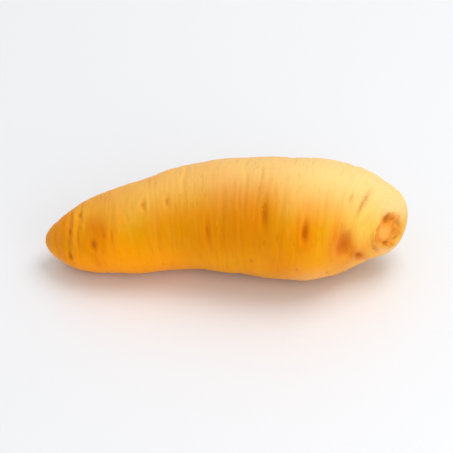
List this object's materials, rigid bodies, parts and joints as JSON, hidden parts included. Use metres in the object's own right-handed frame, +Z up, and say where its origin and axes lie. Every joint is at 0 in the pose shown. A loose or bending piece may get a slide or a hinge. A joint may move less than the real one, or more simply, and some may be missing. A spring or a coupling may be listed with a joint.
{
  "type": "arracacha root",
  "caption": "Whole arracacha root lying on its side: a plump, gently bent, tapering storage root with ring creases, a blunt tail and a rough scar where its crown was broken off.",
  "frame": {"origin": "on the surface that the root lies on, under the middle of its bounding box", "axes": "+X from the blunt tail towards the crown, +Y to the back of the root, +Z up"},
  "size_m": [0.1354, 0.0478, 0.0457],
  "materials": {
    "skin": "moist smooth orange-yellow root skin with a soft sheen"
  },
  "bodies": {
    "root": {"arracacha_root": "skin"}
  },
  "joints": []
}
